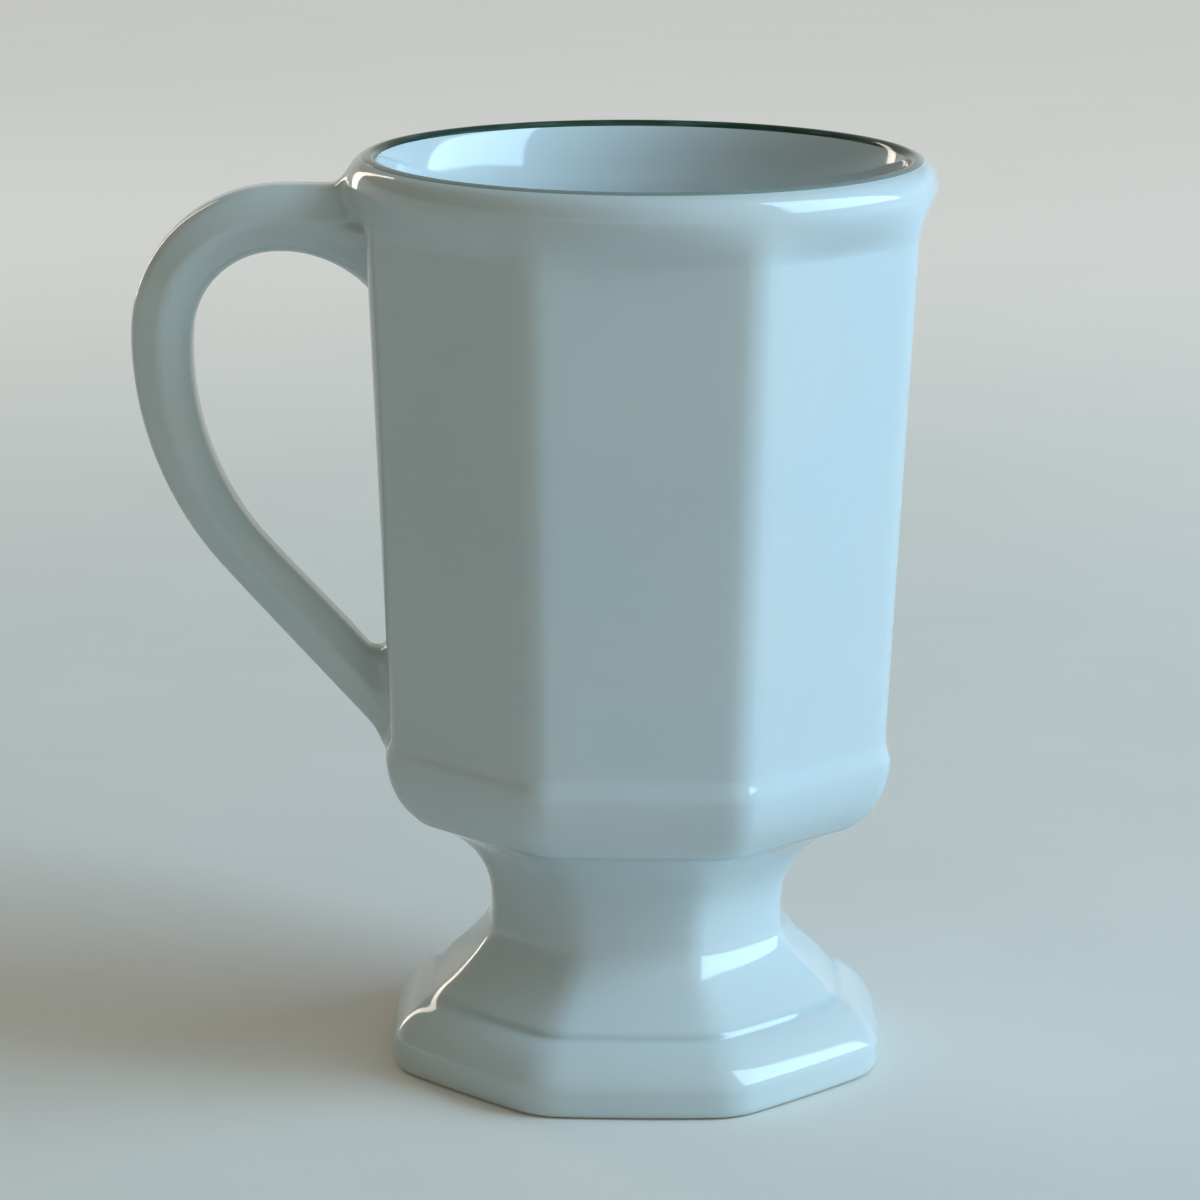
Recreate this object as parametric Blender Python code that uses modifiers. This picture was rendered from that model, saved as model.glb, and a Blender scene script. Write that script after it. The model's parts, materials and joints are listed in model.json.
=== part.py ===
"""Octagonal pedestal mug in white glazed stoneware, with a green line on its lip.

The mug stands on z = 0 with its handle towards -X. The clay pieces are separate castings, luted
together with slip: a bowl, a hollow pedestal and a handle, with a slip joint at each meeting.
"""

import math

import bmesh
import bpy
import numpy as np
from mathutils import Vector

MM = 0.001

# Heights, stacked from the table up
FOOT_HEIGHT = 11.0 * MM  # flat base to the crease on top of the foot
NECK_HEIGHT = 27.8 * MM  # that crease to the flat top of the pedestal
BELLY_HEIGHT = 9.4 * MM  # underside of the bowl to the widest line of its lower roll
FACET_HEIGHT = 78.6 * MM  # that line to the top of the flat facets
COLLAR_HEIGHT = 12.0 * MM  # top of the facets to the crest of the lip
BEAD_DROP = 3.9 * MM  # crest of the lip down to the widest line of the collar
ROLL_RISE = 4.5 * MM  # widest line of the lower roll up to the start of the facets
WAIST_RISE = 11.2 * MM  # crease on the foot up to the straight band of the neck
WAIST_BAND = 3.0 * MM  # height of that narrowest band
FOOT_BAND_HEIGHT = 4.4 * MM  # table to the widest line of the foot

# Octagon apothems and round radii, measured from the axis of the mug
FOOT_APOTHEM = 37.2 * MM
CREASE_APOTHEM = 31.2 * MM
WAIST_APOTHEM = 22.6 * MM
NECK_TOP_APOTHEM = 32.5 * MM
BOWL_BASE_APOTHEM = 34.1 * MM
ROLL_APOTHEM = 38.4 * MM
FACET_LOW_APOTHEM = 37.7 * MM
FACET_TOP_APOTHEM = 40.95 * MM
BEAD_RADIUS = 44.6 * MM
LIP_INSET = 3.4 * MM  # widest line of the collar in to the crest of the lip

# Where the two tangents of each round stretch meet
BELLY_PULL_IN = 0.9 * MM
BELLY_PULL_RISE = 3.5 * MM
BEAD_PULL_IN = 0.5 * MM
BEAD_PULL_DROP = 1.6 * MM
NECK_PULL_DROP = 4.5 * MM
COVE_PULL_RISE = 7.6 * MM
FOOT_PULL_IN = 1.2 * MM
FOOT_PULL_DROP = 2.2 * MM
MOUTH_PULL_IN = 1.8 * MM

# Rounding of the upright edges between facets
BODY_CORNER = 2.6 * MM
NECK_CORNER = 5.5 * MM
FOOT_CORNER = 5.0 * MM

# Walls
BOWL_WALL = 3.6 * MM  # at the middle of a facet
BOWL_FLOOR = 5.0 * MM
FLOOR_ROUNDING = 13.0 * MM
PEDESTAL_WALL = 5.0 * MM
PEDESTAL_DECK = 6.0 * MM  # solid clay between the hollow and the top of the pedestal
HOLLOW_ROUNDING = 7.0 * MM
FOOT_RING_WIDTH = 5.5 * MM
FOOT_EDGE = 1.2 * MM  # rounding of the bottom edge
FOOT_TUCK = 0.2 * MM  # how far the foot draws in from its widest line to that edge

# Painted line on the lip
LINE_WIDTH = 1.6 * MM
LINE_DEPTH = 0.9 * MM
LINE_OVERHANG = 0.6 * MM  # from the crest of the lip to the outer edge of the line
LINE_OUTER_FALL = 0.25 * MM  # from the crest down to that edge
LINE_INNER_FALL = 0.8 * MM  # from the crest down to the inner edge of the line

# Handle, measured on its outer edge in the plane y = 0
HANDLE_REACH = 77.3 * MM  # from the axis of the mug
HANDLE_DROP = 4.7 * MM  # crest of the lip down to the top of the handle
HANDLE_SHOULDER_RADIUS = 23.0 * MM
HANDLE_RUN = 35.5 * MM  # length of the straight lower run
HANDLE_FOOT_RISE = 0.4 * MM  # widest line of the roll up to the lowest point of the handle
HANDLE_TOP_THICKNESS = 10.4 * MM
HANDLE_LOW_THICKNESS = 8.1 * MM
HANDLE_TOP_DEPTH = 13.0 * MM
HANDLE_LOW_DEPTH = 11.5 * MM
HANDLE_FACE = 7.5 * MM  # width of the flat on its outer and inner edges
HANDLE_ROOT_FILLET = 11.0 * MM  # under the upper joint
HANDLE_FLARE = 2.2 * MM  # fillet round the rest of both joints

# Luting slip
SLIP_THICKNESS = 0.6 * MM
CLEARANCE = 0.3 * MM  # between neighbouring pieces

# Fineness of the surfaces
SIDES = 8
CORNER_STEPS = 3
FLAT_STEPS = 3
CURVE_STEPS = 6
ROOT_STEPS = 10
SHOULDER_STEPS = 10
BACK_STEPS = 7
JOINT_STEPS = 14
EDGE_SOFTNESS = 0.3  # share of each side of the handle's section that its rounded edges take
SHARP_ANGLE = math.radians(35)
MERGE_DISTANCE = 0.00001  # welds the seam of a turned ring

SIDE_ANGLE = 2 * math.pi / SIDES
RING_POINTS = SIDES * (CORNER_STEPS + FLAT_STEPS)

CREASE_Z = FOOT_HEIGHT
WAIST_LOW_Z = CREASE_Z + WAIST_RISE
WAIST_TOP_Z = WAIST_LOW_Z + WAIST_BAND
PEDESTAL_TOP_Z = CREASE_Z + NECK_HEIGHT
BOWL_Z = PEDESTAL_TOP_Z + 2 * CLEARANCE + SLIP_THICKNESS
ROLL_Z = BOWL_Z + BELLY_HEIGHT
FACET_LOW_Z = ROLL_Z + ROLL_RISE
FACET_TOP_Z = ROLL_Z + FACET_HEIGHT
LIP_Z = FACET_TOP_Z + COLLAR_HEIGHT
BEAD_Z = LIP_Z - BEAD_DROP
LIP_RADIUS = BEAD_RADIUS - LIP_INSET
LINE_OUTER_RADIUS = LIP_RADIUS + LINE_OVERHANG
LINE_INNER_RADIUS = LINE_OUTER_RADIUS - LINE_WIDTH
LINE_SEAT_Z = LIP_Z - LINE_INNER_FALL - LINE_DEPTH

# The origin is the middle of the footprint of mug and handle together
MUG_AXIS_X = (HANDLE_REACH - BEAD_RADIUS) / 2


def bend(start, pull, end, steps=CURVE_STEPS):
    """Points of a smooth curve after start, up to end, drawn towards pull."""
    points = []
    for step in range(1, steps + 1):
        t = step / steps
        points.append(
            tuple(
                (1 - t) ** 2 * a + 2 * t * (1 - t) * b + t**2 * c
                for a, b, c in zip(start, pull, end)
            )
        )
    return points


def swell(start, end, steps=CURVE_STEPS):
    """Points after start, up to end, of an S curve that leaves and arrives upright."""
    points = []
    for step in range(1, steps + 1):
        t = step / steps
        ease = t * t * (3 - 2 * t)
        points.append((start[0] + (end[0] - start[0]) * ease, start[1] + (end[1] - start[1]) * t))
    return points


def section(apothem, corner, roundness):
    """A level ring: an octagon with rounded corners, which becomes a circle as roundness goes to 1."""
    points = []
    pitch = 2 * math.pi / RING_POINTS
    for side in range(SIDES):
        middle = (side + 0.5) * SIDE_ANGLE
        centre = (apothem - corner) / math.cos(SIDE_ANGLE / 2)
        run = []
        for step in range(CORNER_STEPS + 1):
            angle = middle + (step / CORNER_STEPS - 0.5) * SIDE_ANGLE
            x = centre * math.cos(middle) + corner * math.cos(angle)
            y = centre * math.sin(middle) + corner * math.sin(angle)
            run.append(Vector((x, y)))
        normal = middle + SIDE_ANGLE / 2
        along = Vector((-math.sin(normal), math.cos(normal)))
        flat = 2 * (apothem - corner) * math.tan(SIDE_ANGLE / 2)
        for step in range(1, FLAT_STEPS):
            run.append(run[CORNER_STEPS] + along * flat * step / FLAT_STEPS)
        for index, point in enumerate(run):
            angle = middle + (index - CORNER_STEPS / 2) * pitch
            circle = Vector((math.cos(angle), math.sin(angle))) * apothem
            points.append(point.lerp(circle, roundness))
    return points


def skin(name, rings):
    """A mesh through rings of points, with a flat cap on each end."""
    mesh = bmesh.new()
    loops = [[mesh.verts.new(point) for point in ring] for ring in rings]
    mesh.faces.new(loops[0])
    mesh.faces.new(loops[-1])
    for first, second in zip(loops, loops[1:]):
        for index in range(len(first)):
            mesh.faces.new((first[index - 1], first[index], second[index], second[index - 1]))
    bmesh.ops.recalc_face_normals(mesh, faces=mesh.faces)
    data = bpy.data.meshes.new(name)
    mesh.to_mesh(data)
    mesh.free()
    data.shade_smooth()
    data.set_sharp_from_angle(angle=SHARP_ANGLE)
    return data


def loft(name, levels):
    """A mesh through level sections, each given as apothem, height, corner and roundness."""
    rings = []
    for apothem, height, corner, roundness in levels:
        ring = section(apothem, corner, roundness)
        rings.append([(point.x, point.y, height) for point in ring])
    return skin(name, rings)


def turned(profile):
    """Levels of a round shape, from its profile of radius and height."""
    return [(radius, height, radius, 1) for radius, height in profile]


def glaze(name, colour, roughness):
    material = bpy.data.materials.new(name)
    material.use_nodes = True
    shader = material.node_tree.nodes["Principled BSDF"]
    shader.inputs["Base Color"].default_value = (*colour, 1)
    shader.inputs["Roughness"].default_value = roughness
    shader.inputs["Metallic"].default_value = 0
    material.diffuse_color = (*colour, 1)
    return material


def piece(name, data, material):
    """One piece of the mug, standing on its axis."""
    obj = bpy.data.objects.new(name, data)
    data.materials.append(material)
    obj.parent = mug_axis
    parts.objects.link(obj)
    return obj


def cutter(name, data):
    obj = bpy.data.objects.new(name, data)
    obj.parent = mug_axis
    obj.hide_render = True
    obj.display_type = "WIRE"
    cutters.objects.link(obj)
    return obj


def cut(obj, operation, tool):
    modifier = obj.modifiers.new(tool.name, "BOOLEAN")
    modifier.operation = operation
    modifier.object = tool


for old in list(bpy.data.objects):
    bpy.data.objects.remove(old, do_unlink=True)
parts = bpy.data.collections.new("pedestal_mug")
cutters = bpy.data.collections.new("pedestal_mug_cutters")
bpy.context.scene.collection.children.link(parts)
bpy.context.scene.collection.children.link(cutters)
mug_axis = bpy.data.objects.new("mug_axis", None)
mug_axis.location = (MUG_AXIS_X, 0, 0)
parts.objects.link(mug_axis)

WHITE_GLAZE = glaze("white_glaze", (0.80, 0.83, 0.83), 0.12)
GREEN_LINE = glaze("green_line", (0.01, 0.09, 0.06), 0.12)
SLIP_GLAZE = glaze("slip_under_glaze", (0.77, 0.80, 0.80), 0.15)


# Bowl: facets that taper down to a soft roll, and a round collar that they run up into
def facet_apothem(height):
    """Apothem of the flat facets, which lean out evenly towards the collar."""
    share = (height - FACET_LOW_Z) / (FACET_TOP_Z - FACET_LOW_Z)
    return FACET_LOW_APOTHEM + share * (FACET_TOP_APOTHEM - FACET_LOW_APOTHEM)


def bowl_outside(offset=0):
    """Levels of the outside of the bowl from its underside to its lip, moved out by offset."""
    base = (BOWL_BASE_APOTHEM, BOWL_Z)
    belly_pull = (ROLL_APOTHEM - BELLY_PULL_IN, BOWL_Z + BELLY_PULL_RISE)
    roll = (ROLL_APOTHEM, ROLL_Z)
    facet_low = (FACET_LOW_APOTHEM, FACET_LOW_Z)
    facet_top = (FACET_TOP_APOTHEM, FACET_TOP_Z)
    bead = (BEAD_RADIUS, BEAD_Z)
    bead_pull = (BEAD_RADIUS - BEAD_PULL_IN, LIP_Z - BEAD_PULL_DROP)
    lip_shoulder = (LINE_OUTER_RADIUS + CLEARANCE, LIP_Z - LINE_OUTER_FALL - CLEARANCE)
    profile = [base]
    profile += bend(base, belly_pull, roll)
    profile += swell(roll, facet_low)
    profile += [facet_top]
    profile += swell(facet_top, bead)
    profile += bend(bead, bead_pull, lip_shoulder)
    levels = []
    for apothem, height in profile:
        softness = max(0, (ROLL_Z - height) / BELLY_HEIGHT)
        corner = BODY_CORNER + softness * (NECK_CORNER - BODY_CORNER)
        roundness = 0
        if height > BEAD_Z:
            roundness = 1
        elif height > FACET_TOP_Z:
            roundness = (apothem - FACET_TOP_APOTHEM) / (BEAD_RADIUS - FACET_TOP_APOTHEM)
        levels.append((apothem + offset, height, corner, roundness))
    return levels


def bowl_inside():
    """Levels of the round inside, from the step that holds the painted line down to the floor."""
    floor_z = BOWL_Z + BOWL_FLOOR
    mouth = (LINE_INNER_RADIUS, LINE_SEAT_Z)
    wall_top = (FACET_TOP_APOTHEM - BOWL_WALL, FACET_TOP_Z)
    mouth_pull = (LINE_INNER_RADIUS - MOUTH_PULL_IN, BEAD_Z)
    wall_low_z = floor_z + FLOOR_ROUNDING
    wall_low = (facet_apothem(wall_low_z) - BOWL_WALL, wall_low_z)
    floor_edge = (wall_low[0] - FLOOR_ROUNDING, floor_z)
    profile = [(LINE_OUTER_RADIUS + CLEARANCE, LINE_SEAT_Z), mouth]
    profile += bend(mouth, mouth_pull, wall_top)
    profile += [wall_low]
    profile += bend(wall_low, (wall_low[0], floor_z), floor_edge)
    return turned(profile)


piece("bowl", loft("bowl", bowl_outside() + bowl_inside()), WHITE_GLAZE)

# Painted line: a thin ring of green underglaze, let into the lip
line_low_z = LINE_SEAT_Z + CLEARANCE
crest = (LIP_RADIUS, LIP_Z)
line_outer = (LINE_OUTER_RADIUS, LIP_Z - LINE_OUTER_FALL)
line_inner = (LINE_INNER_RADIUS, LIP_Z - LINE_INNER_FALL)
line_profile = bend(line_inner, (LINE_INNER_RADIUS, LIP_Z), crest)
line_profile += [line_outer, (LINE_OUTER_RADIUS, line_low_z), (LINE_INNER_RADIUS, line_low_z), line_inner]
line_data = bpy.data.meshes.new("rim_line")
line_points = [(radius, 0, height) for radius, height in line_profile]
line_edges = [(index - 1, index) for index in range(1, len(line_points))]
line_data.from_pydata(line_points, line_edges + [(len(line_points) - 1, 0)], [])
rim_line = piece("rim_line", line_data, GREEN_LINE)
turn = rim_line.modifiers.new("turn", "SCREW")
turn.steps = RING_POINTS
turn.render_steps = RING_POINTS
turn.use_merge_vertices = True
turn.merge_threshold = MERGE_DISTANCE


# Pedestal: a coved neck on a rounded octagonal foot, hollow underneath
def pedestal_levels():
    """Levels from the flat top down the outside, across the foot ring and up the hollow."""
    neck_top = (NECK_TOP_APOTHEM, PEDESTAL_TOP_Z)
    neck_pull = (WAIST_APOTHEM, PEDESTAL_TOP_Z - NECK_PULL_DROP)
    waist_top = (WAIST_APOTHEM, WAIST_TOP_Z)
    waist_low = (WAIST_APOTHEM, WAIST_LOW_Z)
    cove_pull = (WAIST_APOTHEM, CREASE_Z + COVE_PULL_RISE)
    crease = (CREASE_APOTHEM, CREASE_Z)
    band_pull = (FOOT_APOTHEM - FOOT_PULL_IN, CREASE_Z - FOOT_PULL_DROP)
    band = (FOOT_APOTHEM, FOOT_BAND_HEIGHT)
    edge = (FOOT_APOTHEM - FOOT_TUCK, FOOT_EDGE)
    ring_outer = (edge[0] - FOOT_EDGE, 0)
    outside = [neck_top]
    outside += bend(neck_top, neck_pull, waist_top)
    outside += [waist_low]
    outside += bend(waist_low, cove_pull, crease)
    outside += bend(crease, band_pull, band)
    outside += [edge]
    outside += bend(edge, (edge[0], 0), ring_outer)
    levels = []
    for apothem, height in outside:
        share = max(0, min(1, (height - FOOT_BAND_HEIGHT) / (WAIST_LOW_Z - FOOT_BAND_HEIGHT)))
        levels.append((apothem, height, FOOT_CORNER + share * (NECK_CORNER - FOOT_CORNER), 0))
    ring_inner = (ring_outer[0] - FOOT_RING_WIDTH, 0)
    hollow_waist = (WAIST_APOTHEM - PEDESTAL_WALL, WAIST_LOW_Z)
    hollow_top_z = PEDESTAL_TOP_Z - PEDESTAL_DECK
    hollow_side = (hollow_waist[0], hollow_top_z - HOLLOW_ROUNDING)
    hollow_top = (hollow_waist[0] - HOLLOW_ROUNDING, hollow_top_z)
    hollow = [ring_inner]
    hollow += bend(ring_inner, (hollow_waist[0], CREASE_Z), hollow_waist)
    hollow += [hollow_side]
    hollow += bend(hollow_side, (hollow_side[0], hollow_top_z), hollow_top)
    return levels + turned(hollow)


piece("pedestal", loft("pedestal", pedestal_levels()), WHITE_GLAZE)

# Slip between the underside of the bowl and the top of the pedestal
slip_low_z = PEDESTAL_TOP_Z + CLEARANCE
slip_levels = [
    (NECK_TOP_APOTHEM, slip_low_z, NECK_CORNER, 0),
    ((NECK_TOP_APOTHEM + BOWL_BASE_APOTHEM) / 2, slip_low_z + SLIP_THICKNESS, NECK_CORNER, 0),
]
piece("neck_slip", loft("neck_slip", slip_levels), SLIP_GLAZE)


# Handle: a six-sided bar with softened edges, swept round two arcs and a straight run
def wall_apothem(height):
    """Apothem of the outside of the bowl at a height."""
    levels = bowl_outside()
    return float(np.interp(height, [level[1] for level in levels], [level[0] for level in levels]))


def handle_stations():
    """Outer edge of the handle, as stations of point, inward direction, taper and inner fillet."""
    top_z = LIP_Z - HANDLE_DROP
    foot = Vector((-ROLL_APOTHEM, ROLL_Z + HANDLE_FOOT_RISE))
    shoulder = Vector((HANDLE_SHOULDER_RADIUS - HANDLE_REACH, top_z - HANDLE_SHOULDER_RADIUS))
    across = foot.x + HANDLE_REACH
    drop = shoulder.y - foot.y
    tangent = (across**2 + drop**2 - HANDLE_RUN**2) / (2 * (HANDLE_RUN + drop))
    lean = math.atan2(across, drop - tangent)
    back_radius = tangent / math.tan(lean / 2)
    back = Vector((back_radius - HANDLE_REACH, shoulder.y))
    down = Vector((0, -1))
    path = [(Vector((BOWL_WALL - FACET_TOP_APOTHEM, top_z)), down)]
    for step in range(ROOT_STEPS):
        from_wall = HANDLE_ROOT_FILLET * (step / (ROOT_STEPS - 1)) ** 2
        path.append((Vector((-FACET_TOP_APOTHEM - from_wall, top_z)), down))
    for step in range(SHOULDER_STEPS):
        angle = math.pi / 2 * (1 + step / SHOULDER_STEPS)
        out = Vector((math.cos(angle), math.sin(angle)))
        path.append((shoulder + out * HANDLE_SHOULDER_RADIUS, -out))
    shoulder_end = len(path)
    for step in range(BACK_STEPS + 1):
        angle = math.pi + lean * step / BACK_STEPS
        out = Vector((math.cos(angle), math.sin(angle)))
        path.append((back + out * back_radius, -out))
    run_start, inward = path[-1]
    taper_end = len(path) - 1
    run = Vector((math.sin(lean), -math.cos(lean)))
    joint_length = HANDLE_LOW_THICKNESS / math.tan(lean) + HANDLE_FLARE / math.sin(lean)
    for step in range(JOINT_STEPS):
        length = HANDLE_RUN - joint_length * (1 - step / (JOINT_STEPS - 1))
        path.append((run_start + run * length, inward))
    path.append((run_start + run * (HANDLE_RUN + BOWL_WALL), inward))
    travel = [0]
    for (before, _), (after, _) in zip(path, path[1:]):
        travel.append(travel[-1] + (after - before).length)
    stations = []
    for index, (point, inward) in enumerate(path):
        taper = min(1, travel[index] / travel[taper_end])
        inner_fillet = HANDLE_ROOT_FILLET if index < shoulder_end else HANDLE_FLARE
        stations.append((point, inward, taper, inner_fillet))
    return stations


def flare(distance, radius):
    """How far a fillet of that radius stands out at a distance from the wall."""
    reach = min(radius, max(0, radius - distance))
    return radius - math.sqrt(radius**2 - reach**2)


def handle_ring(station):
    """One six-sided section with softened edges, flared where it comes near the bowl."""
    point, inward, taper, inner_fillet = station
    thickness = HANDLE_TOP_THICKNESS + taper * (HANDLE_LOW_THICKNESS - HANDLE_TOP_THICKNESS)
    half_depth = (HANDLE_TOP_DEPTH + taper * (HANDLE_LOW_DEPTH - HANDLE_TOP_DEPTH)) / 2
    corners = [
        (0, -HANDLE_FACE / 2),
        (0, HANDLE_FACE / 2),
        (thickness / 2, half_depth),
        (thickness, HANDLE_FACE / 2),
        (thickness, -HANDLE_FACE / 2),
        (thickness / 2, -half_depth),
    ]
    outline = []
    for index, corner in enumerate(corners):
        before = Vector(corner).lerp(Vector(corners[index - 1]), EDGE_SOFTNESS)
        after = Vector(corner).lerp(Vector(corners[(index + 1) % len(corners)]), EDGE_SOFTNESS)
        outline.append(before)
        outline += bend(before, corner, after, 2)
    along_wall = Vector((0, math.copysign(1, inward.y)))
    ring = []
    for across, depth in outline:
        spot = point + inward * across
        from_wall = -spot.x - wall_apothem(spot.y)
        side = 2 * across / thickness - 1
        spot += along_wall * side * flare(from_wall, inner_fillet if side > 0 else HANDLE_FLARE)
        depth += depth / half_depth * flare(from_wall, HANDLE_FLARE)
        ring.append((spot.x, depth, spot.y))
    return ring


rings = [handle_ring(station) for station in handle_stations()]
handle_seat = cutter("handle_seat", loft("handle_seat", bowl_outside(2 * CLEARANCE + SLIP_THICKNESS)))
slip_face = cutter("slip_face", loft("slip_face", bowl_outside(CLEARANCE + SLIP_THICKNESS)))
bowl_face = cutter("bowl_face", loft("bowl_face", bowl_outside(CLEARANCE)))
handle = piece("handle", skin("handle", rings), WHITE_GLAZE)
cut(handle, "DIFFERENCE", handle_seat)

# Slip at the two ends of the handle, drawn out into the fillet round each joint
for name, ends in (
    ("upper_handle_slip", rings[: ROOT_STEPS + 1]),
    ("lower_handle_slip", rings[-JOINT_STEPS - 1 :]),
):
    pad = piece(name, skin(name, ends), SLIP_GLAZE)
    cut(pad, "INTERSECT", slip_face)
    cut(pad, "DIFFERENCE", bowl_face)
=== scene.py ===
"""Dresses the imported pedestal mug: white glazed stoneware with a green line on its lip.

Metres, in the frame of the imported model: the mug stands on z = 0 and its handle is towards -X.
"""

import json
import math

import bmesh
import bpy
from mathutils import Matrix, Vector

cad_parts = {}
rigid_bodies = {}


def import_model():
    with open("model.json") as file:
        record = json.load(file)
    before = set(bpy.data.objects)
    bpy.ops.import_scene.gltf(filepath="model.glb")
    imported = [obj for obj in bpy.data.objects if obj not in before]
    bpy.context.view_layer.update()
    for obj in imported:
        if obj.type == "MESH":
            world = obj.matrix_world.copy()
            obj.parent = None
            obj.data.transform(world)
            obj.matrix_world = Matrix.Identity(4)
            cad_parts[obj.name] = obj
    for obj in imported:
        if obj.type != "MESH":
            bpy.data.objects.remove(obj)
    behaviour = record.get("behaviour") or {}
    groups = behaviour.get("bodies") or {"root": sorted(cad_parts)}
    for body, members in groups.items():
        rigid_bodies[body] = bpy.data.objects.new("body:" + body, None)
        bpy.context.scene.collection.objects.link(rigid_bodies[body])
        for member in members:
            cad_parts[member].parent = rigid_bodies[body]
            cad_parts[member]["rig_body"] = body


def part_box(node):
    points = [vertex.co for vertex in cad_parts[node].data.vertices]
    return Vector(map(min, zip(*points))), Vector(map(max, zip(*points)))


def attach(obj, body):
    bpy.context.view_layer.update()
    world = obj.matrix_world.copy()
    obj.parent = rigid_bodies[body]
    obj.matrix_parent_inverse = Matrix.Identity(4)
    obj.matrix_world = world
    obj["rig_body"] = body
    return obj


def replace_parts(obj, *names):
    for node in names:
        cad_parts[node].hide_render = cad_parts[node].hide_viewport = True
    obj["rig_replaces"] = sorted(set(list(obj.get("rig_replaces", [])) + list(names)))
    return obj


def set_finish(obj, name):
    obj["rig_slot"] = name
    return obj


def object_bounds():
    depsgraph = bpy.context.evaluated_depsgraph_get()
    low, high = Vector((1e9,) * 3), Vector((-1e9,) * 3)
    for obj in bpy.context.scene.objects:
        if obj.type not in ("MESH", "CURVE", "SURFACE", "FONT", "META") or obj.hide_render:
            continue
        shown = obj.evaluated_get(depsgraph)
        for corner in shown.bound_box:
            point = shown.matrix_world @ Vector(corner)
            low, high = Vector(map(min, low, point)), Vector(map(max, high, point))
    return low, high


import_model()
cad_low, cad_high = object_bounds()
# The operators run faster when they keep no undo steps.
bpy.context.preferences.edit.use_global_undo = False

# Bowl: the slip-cast cup of white stoneware, with eight leaning facets between a soft lower roll and
# a round collar. It leaves its plaster mould in one piece, is luted to the pedestal and glazed all over.
MM = 0.001
bowl_low, bowl_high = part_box("bowl")
AXIS_X = (bowl_low.x + bowl_high.x) / 2
BOWL_Z = bowl_low.z
SIDES = 8
SIDE_TURN = math.pi / SIDES
CORNER_STEPS = 4
FLAT_STEPS = 8
EDGE_INSET = 0.6 * MM
BOWL_CORNER = 5.2 * MM
JOINT_SINK = 0.6 * MM
BOWL_BASE = (33.5 * MM, BOWL_Z - JOINT_SINK)
BELLY_LOW = (34.1 * MM, BOWL_Z)
ROLL_APOTHEM = 38.4 * MM
ROLL_Z = BOWL_Z + 9.4 * MM
BELLY_PULL = (38.0 * MM, BOWL_Z + 3.4 * MM)
FACET_LOW_APOTHEM = 37.57 * MM
FACET_LOW_Z = ROLL_Z + 3.4 * MM
FACET_TOP_APOTHEM = 40.99 * MM
FACET_TOP_Z = ROLL_Z + 79.4 * MM
FLARE_PULL = (41.02 * MM, FACET_TOP_Z + 0.8 * MM)
FLARE_MIDDLE = (42.4 * MM, FACET_TOP_Z + 2.7 * MM)
BEAD_RADIUS = 44.6 * MM
BEAD_LOW_PULL = (BEAD_RADIUS, FACET_TOP_Z + 5.8 * MM)
BEAD_Z = FACET_TOP_Z + 7.3 * MM
LIP_RADIUS = 41.2 * MM
LIP_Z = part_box("rim_line")[1].z
BEAD_PULL = (44.3 * MM, LIP_Z - 1.1 * MM)
LIP_OUTER = (42.5 * MM, LIP_Z - 0.4 * MM)
LIP_OUTER_PULL = (41.9 * MM, LIP_Z)
LIP_INNER = (39.75 * MM, LIP_Z - 1.4 * MM)
LIP_INNER_PULL = (40.35 * MM, LIP_Z)
MOUTH_PULL = (38.1 * MM, LIP_Z - 5.3 * MM)
INNER_TOP = (37.35 * MM, LIP_Z - 14.0 * MM)
FLOOR_Z = BOWL_Z + 5.0 * MM
FLOOR_ROUNDING = 13.0 * MM
INNER_LOW = (34.3 * MM, FLOOR_Z + FLOOR_ROUNDING)
FLOOR_RINGS = (14.0 * MM, 7.0 * MM, 2.5 * MM)


def bend(start, pull, end, rings=8):
    """Points of a smooth curve after start, up to end, drawn towards pull."""
    points = []
    for ring in range(1, rings + 1):
        t = ring / rings
        points.append(
            [(1 - t) ** 2 * a + 2 * t * (1 - t) * b + t**2 * c for a, b, c in zip(start, pull, end)]
        )
    return points


def eased(share):
    """A share from nought to one, bent so that it leaves and arrives level."""
    return share * share * (3 - 2 * share)


def swell(start, end, rings=6):
    """Points after start, up to end, of an S curve that leaves and arrives upright."""
    points = []
    for ring in range(1, rings + 1):
        t = ring / rings
        points.append((start[0] + (end[0] - start[0]) * eased(t), start[1] + (end[1] - start[1]) * t))
    return points


def straight(start, end, rings):
    """Evenly spaced points after start, up to end."""
    return [[a + (b - a) * ring / rings for a, b in zip(start, end)] for ring in range(1, rings + 1)]


def pick(kind, test):
    """Selects only the vertices, edges or faces of the mesh in hand that pass a test, in edit mode."""
    bpy.ops.object.mode_set(mode="EDIT")
    bpy.ops.mesh.select_mode(type=kind)
    bpy.ops.mesh.select_all(action="DESELECT")
    bpy.ops.object.mode_set(mode="OBJECT")
    mesh = bpy.context.object.data
    elements = {"VERT": mesh.vertices, "EDGE": mesh.edges, "FACE": mesh.polygons}[kind]
    for element in elements:
        element.select = test(element)
    bpy.ops.object.mode_set(mode="EDIT")


def edge_length(edge):
    first, second = (bpy.context.object.data.vertices[index].co for index in edge.vertices)
    return (first - second).length


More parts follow.
